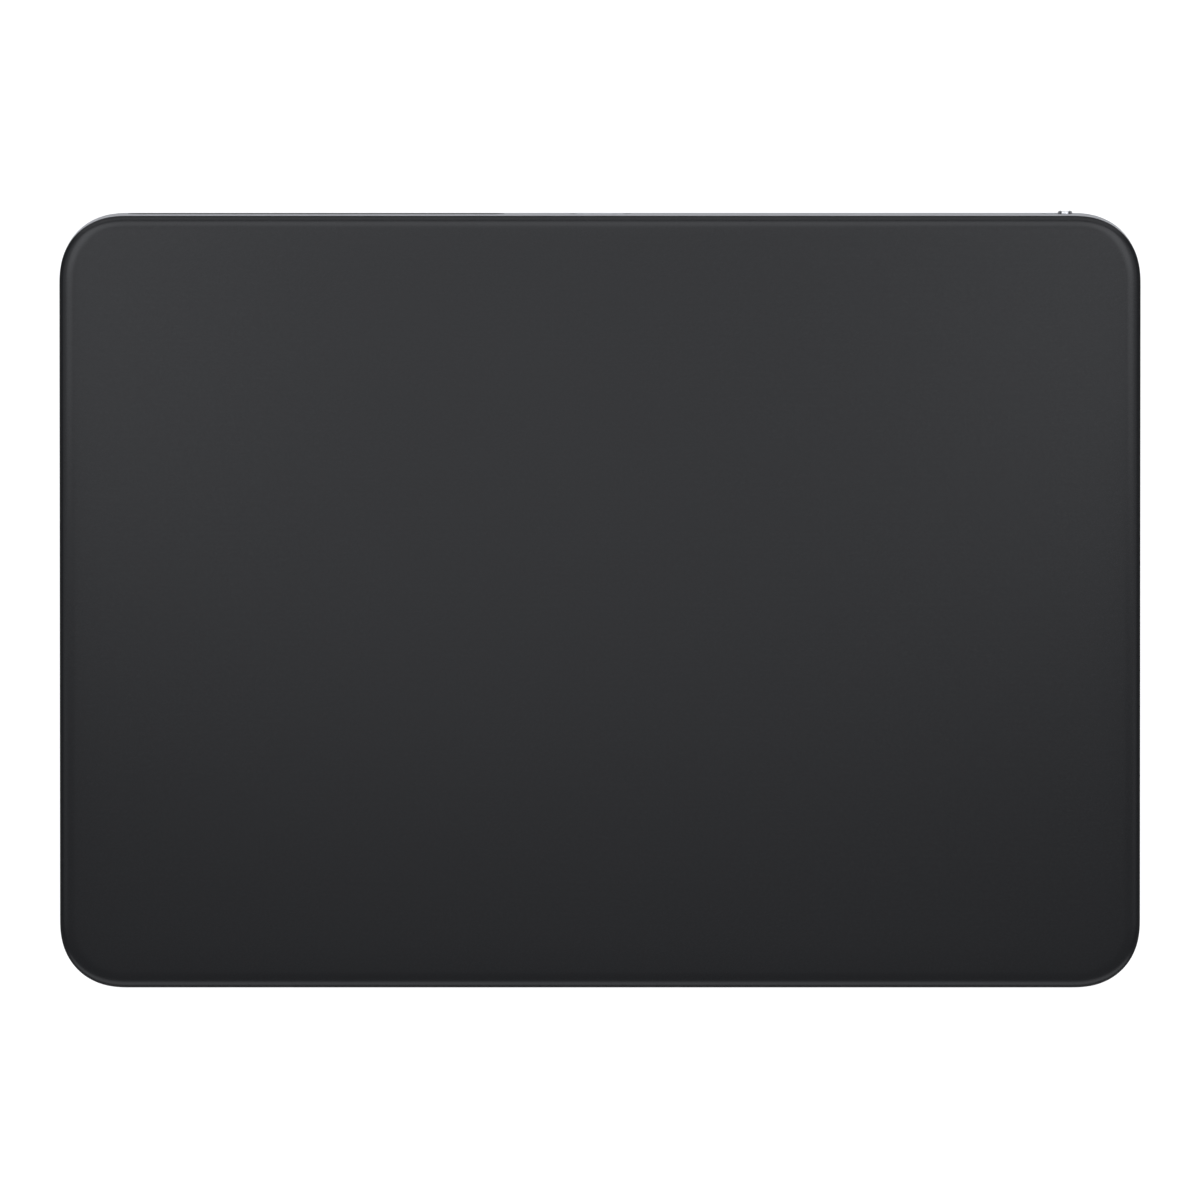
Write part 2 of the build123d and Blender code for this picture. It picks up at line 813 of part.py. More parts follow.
tongue_length = port_length - tongue_setback
with BuildPart() as port_tongue:
    with BuildSketch(port_face.offset(-port_length)):
        SlotOverall(port_inner_width - 2 * port_base_gap, port_inner_height - 2 * port_base_gap)
    extrude(amount=port_base_length)
    with BuildSketch(port_face.offset(-port_length)):
        RectangleRounded(tongue_width, tongue_thickness, tongue_corner)
    extrude(amount=tongue_length)
    add(port_contacts.part, mode=Mode.SUBTRACT)
save(port_tongue, "port_tongue")

# Battery: two pouch cells on tape, their tabs, and the guard board across both terraces
cell_bottom = floor_top + tape_thickness
cell_terrace_end_y = board_front_y - cell_clear_of_board
cell_back_y = cell_terrace_end_y - cell_terrace
cell_front_y = engine_y + engine_width / 2 + cell_engine_gap
cell_length = post_inner_x - cell_post_gap - cell_gap / 2
cell_width = cell_back_y - cell_front_y
cell_x = (cell_length + cell_gap) / 2
cell_middle_y = cell_back_y - cell_width / 2
terrace_top = cell_bottom + cell_terrace_thickness
guard_board_bottom = terrace_top + tab_thickness
guard_board_top = guard_board_bottom + guard_board_thickness
guard_board_y = cell_back_y + guard_board_gap + guard_board_width / 2
guard_board_length = 2 * cell_length + cell_gap - 2 * guard_board_margin
for name, side in (("left", -1), ("right", 1)):
    with BuildPart() as cell:
        with BuildSketch(level(cell_bottom)):
            with Locations((side * cell_x, cell_middle_y)):
                RectangleRounded(cell_length, cell_width, cell_corner)
        extrude(amount=cell_thickness)
        chamfer(cell.faces().filter_by(Axis.Z).edges(), cell_edge_chamfer)
        with BuildSketch(level(cell_bottom)):
            with Locations((side * cell_x, cell_back_y)):
                Rectangle(cell_length - 2 * cell_terrace_inset, 2 * cell_terrace)
        extrude(amount=cell_terrace_thickness)
    save(cell, f"battery_cell_{name}")

with BuildPart() as battery_tapes:
    with BuildSketch(level(floor_top)):
        with Locations((-cell_x, cell_middle_y), (cell_x, cell_middle_y)):
            Rectangle(cell_length - 2 * tape_margin, cell_width - 2 * tape_margin)
    extrude(amount=tape_thickness)
save(battery_tapes, "battery_tapes")

with BuildPart() as battery_tabs:
    with BuildSketch(level(terrace_top)):
        with Locations((-cell_x, cell_back_y + tab_length / 2), (cell_x, cell_back_y + tab_length / 2)):
            with GridLocations(tab_spacing, 0, 2, 1):
                Rectangle(tab_width, tab_length)
    extrude(amount=tab_thickness)
save(battery_tabs, "battery_tabs")

with BuildPart() as guard_board:
    with BuildSketch(level(guard_board_bottom)):
        with Locations((0, guard_board_y)):
            Rectangle(guard_board_length, guard_board_width)
    extrude(amount=guard_board_thickness)
save(guard_board, "guard_board")

with BuildPart() as guard_chips:
    with BuildSketch(level(guard_board_top)):
        with Locations((-guard_chip_x, guard_board_y), (guard_chip_x, guard_board_y)):
            Rectangle(guard_chip_length, guard_chip_width)
    extrude(amount=guard_chip_height)
save(guard_chips, "guard_chips")

# Battery plug in its socket, and the leads from the guard board
plug_x = along_board(plug_share)
plug_front_y = board_front_y + socket_front_inset
plug_bottom = board_top + socket_lip
socket_length = plug_length + 2 * plug_gap + 2 * socket_lip
socket_width = plug_width + plug_gap + socket_lip
with BuildPart() as battery_socket:
    with BuildSketch(level(board_top)):
        with Locations((plug_x, plug_front_y + socket_width / 2)):
            Rectangle(socket_length, socket_width)
    extrude(amount=socket_lip + plug_height)
    with BuildSketch(level(plug_bottom)):
        with Locations((plug_x, plug_front_y)):
            Rectangle(plug_length + 2 * plug_gap, 2 * (plug_width + plug_gap))
    extrude(amount=plug_height, mode=Mode.SUBTRACT)
save(battery_socket, "battery_socket")

with BuildPart() as battery_plug:
    with BuildSketch(level(plug_bottom)):
        with Locations((plug_x, plug_front_y + plug_width / 2)):
            Rectangle(plug_length, plug_width)
    extrude(amount=plug_height)
save(battery_plug, "battery_plug")

with BuildPart() as battery_leads:
    for i in range(lead_count):
        x = plug_x + (i - (lead_count - 1) / 2) * lead_pitch
        lead_start = Vector(x, guard_board_y, guard_board_top + lead_radius)
        lead_end = Vector(x, plug_front_y, plug_bottom + plug_height / 2)
        with BuildSketch(Plane(origin=lead_start, x_dir=(1, 0, 0), z_dir=(0, 1, 0))):
            RegularPolygon(lead_radius, major_radius=False, side_count=6)
        sweep(path=double_bend(lead_start, lead_end, Vector(0, 1, 0)))
save(battery_leads, "battery_leads")

# Ribbon from the sensor board, through the stiffener, to its socket on the main board
ribbon_z = board_top + ribbon_socket_height / 2
with BuildPart() as ribbon_socket:
    with BuildSketch(level(board_top)):
        with Locations((ribbon_x, ribbon_socket_front_y + ribbon_socket_width / 2)):
            Rectangle(ribbon_socket_length, ribbon_socket_width)
    extrude(amount=ribbon_socket_height)
    with BuildSketch(Plane.XZ.offset(-ribbon_socket_front_y)):
        with Locations((ribbon_x, ribbon_z)):
            Rectangle(ribbon_width + 2 * ribbon_slot_gap, ribbon_thickness + 2 * ribbon_slot_gap)
    extrude(amount=-(ribbon_seat + ribbon_slot_gap), mode=Mode.SUBTRACT)
save(ribbon_socket, "ribbon_socket")

ribbon_depth = sensor_bottom_depth + ribbon_thickness / 2
ribbon_far = Vector(ribbon_far_y, height_at(ribbon_far_y, ribbon_depth))
ribbon_leave = Vector(ribbon_leave_y, height_at(ribbon_leave_y, ribbon_depth))
ribbon_arrive = Vector(ribbon_leave_y + (ribbon_leave.Y - ribbon_z) * tan(tilt / 2), ribbon_z)
ribbon_end = Vector(ribbon_socket_front_y + ribbon_seat, ribbon_z)
with BuildPart() as ribbon:
    with BuildSketch(Plane.YZ.offset(ribbon_x)):
        with BuildLine():
            Line(ribbon_far, ribbon_leave)
            TangentArc(ribbon_leave, ribbon_arrive, tangent=Vector(-cos(tilt), -sin(tilt)))
            Line(ribbon_arrive, ribbon_end)
        trace(line_width=ribbon_thickness)
    extrude(amount=ribbon_width / 2, both=True)
save(ribbon, "ribbon")

# Haptic engine: base, coil, a weight with two magnets between two folded springs, can, screws and flex
engine_base_bottom_depth = stiffener_bottom_depth + engine_base_thickness
coil_length = magnet_spacing + coil_wire_band
weight_top_depth = engine_base_bottom_depth + coil_thickness + weight_coil_gap
weight_length = engine_length - 2 * weight_end_gap
with BuildPart() as engine_base:
    with BuildSketch(under_glass(stiffener_bottom_depth)):
        with Locations((0, engine_y)):
            RectangleRounded(engine_base_length, engine_width, engine_base_corner)
    extrude(amount=-engine_base_thickness)
save(engine_base, "engine_base")

with BuildPart() as engine_coil:
    with BuildSketch(under_glass(engine_base_bottom_depth)):
        with Locations((0, engine_y)):
            RectangleRounded(coil_length, coil_width, coil_corner)
            RectangleRounded(
                coil_length - 2 * coil_wire_band,
                coil_width - 2 * coil_wire_band,
                coil_corner - coil_wire_band,
                mode=Mode.SUBTRACT,
            )
    extrude(amount=-coil_thickness)
save(engine_coil, "engine_coil")

magnet_places = [(side * magnet_spacing / 2, engine_y) for side in (-1, 1)]
with BuildPart() as engine_weight:
    with BuildSketch(under_glass(weight_top_depth)):
        with Locations((0, engine_y)):
            RectangleRounded(weight_length, weight_width, weight_corner)
    extrude(amount=-weight_thickness)
    with BuildSketch(under_glass(weight_top_depth)):
        with Locations(*magnet_places):
            Rectangle(magnet_length + 2 * magnet_gap, magnet_width + 2 * magnet_gap)
    extrude(amount=-magnet_thickness, mode=Mode.SUBTRACT)
save(engine_weight, "engine_weight")

with BuildPart() as engine_magnets:
    with BuildSketch(under_glass(weight_top_depth)):
        with Locations(*magnet_places):
            Rectangle(magnet_length, magnet_width)
    extrude(amount=-magnet_thickness)
save(engine_magnets, "engine_magnets")

# Leaf springs: flat strips folded once between the weight's end and the can's end wall
spring_top_depth = weight_top_depth + (weight_thickness - spring_height) / 2
spring_near_x = (weight_length + spring_thickness) / 2
spring_far_x = (engine_length - spring_thickness) / 2 - engine_can_wall
spring_seat_y = -spring_swing + spring_seat
for name, side in (("left", -1), ("right", 1)):
    with BuildPart() as spring:
        with BuildSketch(under_glass(spring_top_depth)):
            with BuildLine():
                FilletPolyline(
                    (side * spring_near_x, engine_y - spring_swing),
                    (side * spring_near_x, engine_y + spring_seat_y),
                    (side * (spring_near_x + spring_far_x) / 2, engine_y + spring_swing),
                    (side * spring_far_x, engine_y + spring_seat_y),
                    (side * spring_far_x, engine_y - spring_swing),
                    radius=spring_bend,
                )
            trace(line_width=spring_thickness)
        extrude(amount=-spring_height)
    save(spring, f"engine_spring_{name}")

with BuildPart() as engine_can:
    with BuildSketch(under_glass(engine_base_bottom_depth)):
        with Locations((0, engine_y)):
            RectangleRounded(engine_length, engine_width, engine_can_corner)
    extrude(amount=-engine_can_height)
    with BuildSketch(under_glass(engine_base_bottom_depth)):
        with Locations((0, engine_y)):
            RectangleRounded(
                engine_length - 2 * engine_can_wall,
                engine_width - 2 * engine_can_wall,
                engine_can_corner - engine_can_wall,
            )
    extrude(amount=-(engine_can_height - engine_can_wall), mode=Mode.SUBTRACT)
    with BuildSketch(under_glass(engine_base_bottom_depth)):
        with Locations((0, engine_back_y)):
            Rectangle(engine_flex_width + 2 * engine_flex_gap, 2 * engine_can_wall + engine_flex_gap)
    extrude(amount=-(engine_flex_thickness + engine_flex_gap), mode=Mode.SUBTRACT)
save(engine_can, "engine_can")

engine_screws = hexagons(
    under_glass_facing_down(engine_base_bottom_depth),
    [(x, -y) for x, y in engine_screw_places],
    screw_head_radius,
    screw_head_height,
)
save(engine_screws, "engine_screws")

engine_flex_low = engine_base_bottom_depth + engine_flex_thickness / 2
engine_flex_high = sensor_bottom_depth + engine_flex_thickness / 2
engine_flex_start_y = engine_y + coil_width / 2
with BuildPart() as engine_flex:
    with BuildSketch(beside_glass(0)):
        with BuildLine():
            FilletPolyline(
                (engine_flex_start_y, -engine_flex_low),
                (engine_back_y + engine_flex_gap, -engine_flex_low),
                (engine_back_y + engine_flex_run, -engine_flex_high),
                (engine_back_y + engine_flex_run + engine_flex_lap, -engine_flex_high),
                radius=engine_flex_bend,
            )
        trace(line_width=engine_flex_thickness)
    extrude(amount=engine_flex_width / 2, both=True)
save(engine_flex, "engine_flex")

# Power switch: the knob with its skirt and leg, the green strip that shows when it is on, and the wiper
switch_leg_inset = switch_skirt_inset + switch_skirt_thickness
switch_wiper_inset = switch_leg_inset + switch_leg_length
switch_contact_inset = switch_wiper_inset + switch_wiper_thickness
with BuildPart() as switch_knob:
    with BuildSketch(back_wall_plane(switch_knob_x, switch_leg_inset)):
        SlotOverall(switch_knob_length, switch_slot_height - 2 * switch_slot_gap)
    extrude(amount=switch_leg_inset + switch_knob_proud)
    knob_top = switch_knob.faces().sort_by(square_to(back_wall_plane(switch_knob_x, 0)))[-1]
    fillet(knob_top.edges(), switch_knob_round)
    with BuildSketch(back_wall_plane(switch_knob_x, switch_skirt_inset)):
        RectangleRounded(2 * switch_skirt_half, switch_skirt_height, switch_skirt_corner)
    extrude(amount=-switch_skirt_thickness)
    with BuildSketch(back_wall_plane(switch_knob_x, switch_leg_inset)):
        Rectangle(switch_leg_width, switch_leg_height)
    extrude(amount=-switch_leg_length)
save(switch_knob, "switch_knob")

indicator_x = switch_knob_x + (switch_knob_length + switch_indicator_length) / 2 + switch_indicator_gap
with BuildPart() as switch_indicator:
    with BuildSketch(back_wall_plane(indicator_x, switch_skirt_inset)):
        Rectangle(switch_indicator_length, switch_indicator_height)
    extrude(amount=switch_indicator_thickness)
save(switch_indicator, "switch_indicator")

with BuildPart() as switch_wiper:
    with BuildSketch(back_wall_plane(switch_knob_x, switch_wiper_inset)):
        Rectangle(switch_wiper_length, switch_wiper_height)
    extrude(amount=-switch_wiper_thickness)
save(switch_wiper, "switch_wiper")

# Terminals: plates on the floor of the switch's channel, with stems that bend down to the flex
terminal_plate_y = back_wall_y(line_height, switch_contact_inset)
terminal_bend_y = switch_body_front_y - switch_terminal_reach
flex_top = board_top + ribbon_thickness
terminal_planes = [
    Plane.YZ.offset(switch_body_x + (i - (switch_terminal_count - 1) / 2) * switch_terminal_pitch)
    for i in range(switch_terminal_count)
]
with BuildPart() as switch_terminals:
    with BuildSketch(*terminal_planes):
        with BuildLine():
            Polyline(
                (terminal_plate_y, line_height),
                (terminal_bend_y, line_height),
                (terminal_bend_y, flex_top + switch_terminal_thickness / 2),
                (terminal_bend_y - switch_terminal_reach / 2, flex_top + switch_terminal_thickness / 2),
            )
        trace(line_width=switch_terminal_thickness)
    extrude(amount=switch_terminal_width / 2, both=True)
    with BuildSketch(back_wall_plane(switch_body_x, switch_contact_inset)):
        with GridLocations(switch_terminal_pitch, 0, switch_terminal_count, 1):
            Rectangle(switch_terminal_width, switch_wiper_height)
    extrude(amount=-switch_terminal_thickness)
save(switch_terminals, "switch_terminals")

switch_channel_length = switch_wiper_length + switch_travel + 2 * switch_leg_gap
switch_flange_back_y = switch_body_front_y + switch_flange_lap
with BuildPart() as switch_body:
    with BuildSketch(back_wall_plane(switch_body_x, switch_body_back_inset)):
        RectangleRounded(switch_body_length, switch_body_height, switch_body_corner)
    extrude(amount=-switch_body_depth)
    with BuildSketch(level(board_bottom)):
        with Locations((switch_body_x, (switch_flange_front_y + switch_flange_back_y) / 2)):
            Rectangle(switch_body_length, switch_flange_back_y - switch_flange_front_y)
    extrude(amount=board_thickness)
    with BuildSketch(back_wall_plane(switch_body_x, switch_body_back_inset)):
        Rectangle(switch_channel_length, switch_leg_height + 2 * switch_leg_gap)
    channel_depth = switch_contact_inset + switch_terminal_thickness - switch_body_back_inset
    extrude(amount=-channel_depth, mode=Mode.SUBTRACT)
    add(switch_terminals.part, mode=Mode.SUBTRACT)
save(switch_body, "switch_body")

switch_flex_start_x = board_length / 2 - switch_flex_lap
switch_flex_end_x = switch_body_x + switch_terminal_pitch + switch_terminal_width / 2 + switch_flex_end_lap
switch_flex_x = (switch_flex_start_x + switch_flex_end_x) / 2
with BuildPart() as switch_flex:
    with BuildSketch(level(board_top)):
        with Locations((switch_flex_x, terminal_bend_y - switch_flex_width / 4)):
            Rectangle(switch_flex_end_x - switch_flex_start_x, switch_flex_width)
    extrude(amount=ribbon_thickness)
save(switch_flex, "switch_flex")
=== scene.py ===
"""Looks of a wedge-shaped trackpad: etched black glass on a bead-blasted aluminium tray, in a white studio.

Metres inside Blender; the sizes below are millimetres. +X right, +Y back, +Z up, the table at height 0.
"""

import math

import bmesh
import bpy
import numpy as np
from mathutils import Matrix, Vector


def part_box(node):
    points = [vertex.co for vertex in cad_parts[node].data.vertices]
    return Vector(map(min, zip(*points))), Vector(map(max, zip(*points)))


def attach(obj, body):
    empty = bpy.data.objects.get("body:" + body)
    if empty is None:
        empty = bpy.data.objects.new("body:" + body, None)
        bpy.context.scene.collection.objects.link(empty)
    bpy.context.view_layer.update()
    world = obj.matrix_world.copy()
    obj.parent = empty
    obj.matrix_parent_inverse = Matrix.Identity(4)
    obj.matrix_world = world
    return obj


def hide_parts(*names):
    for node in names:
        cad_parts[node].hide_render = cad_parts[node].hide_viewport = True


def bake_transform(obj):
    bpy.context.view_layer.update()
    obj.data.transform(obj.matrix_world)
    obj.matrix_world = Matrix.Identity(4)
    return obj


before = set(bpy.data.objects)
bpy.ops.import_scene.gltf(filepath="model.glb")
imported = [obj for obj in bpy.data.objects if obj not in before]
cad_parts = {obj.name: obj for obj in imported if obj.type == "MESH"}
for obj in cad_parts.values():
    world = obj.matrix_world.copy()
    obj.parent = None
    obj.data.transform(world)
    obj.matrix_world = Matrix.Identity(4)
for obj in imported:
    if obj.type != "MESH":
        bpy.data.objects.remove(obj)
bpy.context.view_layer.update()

MM = 0.001

# Shape of the glass, as in the solid model
TILT = math.radians(3.0)
WIDTH = 160.0
DEPTH = 114.9
FRONT_HEIGHT = 4.9
TRAY_BOTTOM = 0.6
# The glass stops this far short of the tray's back edge, as the photo shows
BACK_LEDGE = 0.1
GLASS_LENGTH = (DEPTH - (FRONT_HEIGHT - TRAY_BOTTOM) * math.tan(TILT)) * math.cos(TILT) - BACK_LEDGE
GLASS_MIDDLE = (
    0.0,
    GLASS_LENGTH / 2 * math.cos(TILT) - DEPTH / 2,
    FRONT_HEIGHT + GLASS_LENGTH / 2 * math.sin(TILT),
)
GLASS_THICKNESS = 1.0
CORNER_REACH = 10.4
CORNER_NEAR = 0.28
CORNER_FAR = 0.65
CORNER_SHRINK = 1.14

# Rolled rim of the glass: its full ellipse, the bevel that cuts it off, and the chamfer underneath
ROLL_WIDTH = 2.4
ROLL_DROP = 0.9
ROLL_POWER = 2.13
ROLL_STEPS = 40
BEVEL_SLOPE = math.tan(math.radians(39.0))
EDGE_BREAK = 0.02
RIM_CHAMFER = 0.1

# Polishing leaves the glass falling away a little over this width, so its greys shift beside the rim
EASE_WIDTH = 8.8
EASE_DROP = 0.09
EASE_STEPS = 12

# Band of the underside beside the rim, and the hole left in the middle for one flat face
RIM_BAND = 4.0
MIDDLE_INSET = 50.0


# Colours and nodes


def linear(code):
    """A hex colour, as seen on a screen, as linear red, green, blue and alpha."""
    shares = [int(code[i : i + 2], 16) / 255 for i in (0, 2, 4)]
    return [s / 12.92 if s <= 0.04045 else ((s + 0.055) / 1.055) ** 2.4 for s in shares] + [1.0]


def node(tree, kind, settings=None, inputs=None):
    """Adds a node, sets its properties, and feeds its sockets with values or with other nodes' outputs."""
    made = tree.nodes.new(kind)
    for name, value in (settings or {}).items():
        setattr(made, name, value)
    for name, value in (inputs or {}).items():
        if isinstance(value, bpy.types.NodeSocket):
            tree.links.new(value, made.inputs[name])
        else:
            made.inputs[name].default_value = value
    return made


def material(name, **sockets):
    """A material with the sockets of its shader that never vary, written as small words and underscores."""
    made = bpy.data.materials.new(name)
    made.use_nodes = True
    inputs = made.node_tree.nodes["Principled BSDF"].inputs
    for socket, value in sockets.items():
        inputs[socket.replace("_", " ").title().replace("Ior", "IOR")].default_value = value
    return made


# Materials

# Noise lies mostly between these two values
NOISE_SPAN = (0.3, 0.7)


def blotches(tree, size, stretch=(1, 1, 1), detail=2.0):
    """Noise whose blotches measure about this many millimetres, drawn out along the stretched directions."""
    place = node(tree, "ShaderNodeTexCoord").outputs["Object"]
    spread = [1 / (size * MM * share) for share in stretch]
    place = node(tree, "ShaderNodeMapping", inputs={"Vector": place, "Scale": spread}).outputs["Vector"]
    pattern = {"Vector": place, "Scale": 1.0, "Detail": detail}
    return node(tree, "ShaderNodeTexNoise", inputs=pattern).outputs["Fac"]


def shaded(made, grain, depth, roughness, shade, span, colours):
    """Feeds a material's shader. The grain shifts its roughness and its relief, this many millimetres deep,
    and the shade, as it runs over its span, takes its colour from the first to the last."""
    tree = made.node_tree
    limits = {"Value": grain, "From Min": NOISE_SPAN[0], "From Max": NOISE_SPAN[1]}
    limits.update({"To Min": roughness[0], "To Max": roughness[1]})
    rough = node(tree, "ShaderNodeMapRange", inputs=limits)
    relief = node(tree, "ShaderNodeBump", inputs={"Height": grain, "Distance": depth * MM})
    limits = {"Value": shade, "From Min": span[0], "From Max": span[1]}
    share = node(tree, "ShaderNodeMapRange", inputs=limits).outputs["Result"]
    ends = {0: share, 6: linear(colours[0]), 7: linear(colours[1])}
    colour = node(tree, "ShaderNodeMix", {"data_type": "RGBA"}, ends)
    inputs = tree.nodes["Principled BSDF"].inputs
    tree.links.new(rough.outputs["Result"], inputs["Roughness"])
    tree.links.new(relief.outputs["Normal"], inputs["Normal"])
    tree.links.new(colour.outputs[2], inputs["Base Color"])
    return made


def grained(name, first, last, size, depth, low, high, stretch=(1, 1, 1), **sockets):
    """A finish with one grain, of this size and depth in millimetres. As it rises, the roughness runs from
    low to high and the colour from the first to the last."""
    made = material(name, **sockets)
    grain = blotches(made.node_tree, size, stretch)
    return shaded(made, grain, depth, (low, high), grain, NOISE_SPAN, (first, last))


# Each finish below has a name, its first and last colour, the size and depth of its grain in millimetres,
# its low and high roughness, and how far the grain is drawn out along X, Y and Z

# Aluminium milled from one block, bead-blasted and clear anodised: pits of a tenth of a millimetre
tray_metal = grained(
    "bead-blasted anodised aluminium",
    "BEBFC3",
    "CACBCE",
    0.09,
    0.004,
    0.34,
    0.42,
    metallic=1.0,
    specular_tint=linear("8C8D90"),
)
# The switch's knob: the same metal, with a painted highlight on its middle as far as the first of these to
# either side, and painted shade on its ends beyond the second
KNOB_PAINTED_HIGHLIGHT_HALF = 0.42
KNOB_PAINTED_SHADE_HALF = 0.6


def knob_with_painted_light():
    """Finish with a painted highlight on its middle and painted shade that darkens its ends with the
    distance along X from the middle of the knob.
    """
    made = material("satin aluminium with painted highlight and shade", metallic=1.0)
    tree = made.node_tree
    low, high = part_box("switch_knob")
    place = node(tree, "ShaderNodeTexCoord").outputs["Object"]
    place_x = node(tree, "ShaderNodeSeparateXYZ", inputs={"Vector": place}).outputs["X"]
    beside = node(tree, "ShaderNodeMath", {"operation": "SUBTRACT"}, {0: place_x, 1: (low.x + high.x) / 2})
    beside = node(tree, "ShaderNodeMath", {"operation": "ABSOLUTE"}, {0: beside.outputs[0]}).outputs[0]
    # Painted highlight within the first of these distances, painted shade beyond the second
    painted_shade_span = (KNOB_PAINTED_HIGHLIGHT_HALF * MM, KNOB_PAINTED_SHADE_HALF * MM)
    turning = blotches(tree, 0.06)
    return shaded(made, turning, 0.001, (0.22, 0.3), beside, painted_shade_span, ("F1F1F3", "77787B"))


knob_metal_with_painted_light = knob_with_painted_light()
# Antenna window: filled nylon, moulded with a fine spark-eroded texture that hardly shines
window_plastic = grained(
    "spark-textured moulded nylon",
    "2C2D2F",
    "353638",
    0.12,
    0.006,
    0.8,
    0.92,
    ior=1.53,
    specular_ior_level=0.2,
)
# Feet: cast silicone rubber with a matt skin
foot_rubber = grained("matt cast silicone rubber", "B4B5B8", "BEBFC2", 0.3, 0.006, 0.62, 0.75, ior=1.41)
# Boards: glass-fibre laminate under dark solder mask, the weave just telling
board_mask = grained(
    "solder mask over woven laminate", "0E1E17", "15291F", 0.5, 0.01, 0.28, 0.4, (4, 1, 1), ior=1.55
)
# Chips: transfer-moulded epoxy, dull black and faintly grainy
chip_epoxy = grained("transfer-moulded epoxy", "1B1B1D", "242427", 0.08, 0.004, 0.5, 0.65, ior=1.55)
# Capacitors: fired ceramic, tan with a slight sheen
ceramic = grained("fired capacitor ceramic", "8A7256", "9C8466", 0.1, 0.003, 0.4, 0.5, ior=1.6)
# Sheet steel: rolled, so fine lines of grain run along X
sheet_steel = grained(
    "rolled stainless sheet", "A6A6A4", "BDBDBA", 0.05, 0.002, 0.24, 0.36, (30, 1, 1), metallic=1.0
)
# Spring strip: harder rolled, so darker and glossier, its grain along Y
spring_strip = grained(
    "rolled spring-steel strip", "8C8C8B", "A3A3A1", 0.04, 0.001, 0.2, 0.3, (1, 30, 1), metallic=1.0
)
# Screws and nuts: machined and nickel plated, a warm grey shine
screw_nickel = grained(
    "nickel-plated machined steel", "8F8E8C", "A19F9B", 0.05, 0.001, 0.22, 0.3, metallic=1.0
)
# Haptic weight: pressed and sintered tungsten alloy, dark grey with fine pits
tungsten = grained("sintered tungsten alloy", "6E6E70", "7E7E80", 0.06, 0.005, 0.42, 0.55, metallic=1.0)
# Magnets and battery tabs: bright nickel, almost a mirror
nickel = grained("bright nickel plate", "C2BFB7", "CDCAC2", 0.2, 0.001, 0.14, 0.2, metallic=1.0)
# Coil: flat-wound enamelled copper, the turns one tenth of a millimetre apart
copper = grained(
    "enamelled copper winding", "8E4A2C", "BC6A42", 0.1, 0.01, 0.2, 0.35, (1, 20, 1), metallic=1.0
)
# Contacts: hard gold on copper alloy, smooth and warm
gold = grained("hard gold plate", "C9A253", "DDB766", 0.05, 0.001, 0.16, 0.24, metallic=1.0)
# Black moulded parts: half glossy from a polished mould
black_plastic = grained("black moulded polymer", "141416", "1C1C1E", 0.1, 0.003, 0.4, 0.5, ior=1.58)
# White moulded plug and socket: off-white nylon with a soft shine
white_plastic = grained("white moulded nylon", "DAD8D0", "E4E2DA", 0.15, 0.003, 0.32, 0.42, ior=1.53)
# Lead insulation: extruded, so smooth and satin
insulation = grained("extruded black insulation", "151515", "1D1D1D", 0.2, 0.002, 0.45, 0.55, ior=1.5)
# Cells: laminated aluminium foil with shallow creases
pouch = grained("laminated pouch foil", "B9BABC", "C9CACC", 2.5, 0.03, 0.3, 0.42, metallic=0.9)
# Films: polyimide over etched copper tracks, amber brown with fine lines along Y
film = grained(
    "polyimide film over copper", "6E3F12", "8A5218", 0.4, 0.004, 0.25, 0.35, (1, 20, 1), ior=1.7
)
# Adhesive film: pale grey and slightly cloudy
adhesive = grained("pressure-sensitive film", "A9A9A4", "B5B5B0", 0.5, 0.004, 0.4, 0.5, ior=1.47)
# Green strip that shows when the switch is on: printed, flat and bright
green = grained("printed green strip", "2FA14A", "38B155", 0.1, 0.001, 0.4, 0.5, ior=1.5)


def etched_glass():
    """Black ink behind clear glass whose top is acid-etched to a soft matt. The ink varies slowly."""
    made = material("acid-etched glass over black ink", ior=1.5, specular_ior_level=0.5)
    etch = blotches(made.node_tree, 0.05, detail=1.0)
    ink = blotches(made.node_tree, 14.0)
    return shaded(made, etch, 0.0006, (0.25, 0.28), ink, NOISE_SPAN, ("0A0B0E", "0B0C0F"))


touch_glass = etched_glass()

FINISHES = {
    tray_metal: ["enclosure_tray"],
    knob_metal_with_painted_light: ["switch_knob"],
    window_plastic: ["antenna_window"],
    foot_rubber: ["foot_front_left", "foot_front_right", "foot_back_left", "foot_back_right"],
    touch_glass: ["glass"],
    board_mask: ["sensor_board", "main_board", "antenna_board", "guard_board"],
    chip_epoxy: ["touch_chips", "radio_chip", "control_chip", "power_chip", "driver_chip", "guard_chips"],
    ceramic: ["capacitors"],
    sheet_steel: ["stiffener", "engine_base", "engine_can", "radio_shield", "port_shell"],
    spring_strip: [
        "flexure_front_left",
        "flexure_front_right",
        "flexure_back_left",
        "flexure_back_right",
        "engine_spring_left",
        "engine_spring_right",
    ],
    screw_nickel: ["board_screws", "engine_screws", "flexure_nuts"],
    tungsten: ["engine_weight"],
    nickel: ["engine_magnets", "battery_tabs"],
    copper: ["engine_coil"],
    gold: ["port_contacts", "switch_terminals", "switch_wiper", "coax_plugs"],
    black_plastic: ["port_tongue", "switch_body", "ribbon_socket"],
    white_plastic: ["battery_plug", "battery_socket"],
    insulation: ["battery_leads", "coax_lead"],
    pouch: ["battery_cell_left", "battery_cell_right"],
    film: ["ribbon", "engine_flex", "switch_flex", "strain_gauges"],
    adhesive: ["glass_adhesive", "battery_tapes"],
    green: ["switch_indicator"],
}
for finish, names in FINISHES.items():
    for name in names:
        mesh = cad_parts[name].data
        mesh.materials.clear()
        mesh.materials.append(finish)


# Glass surface


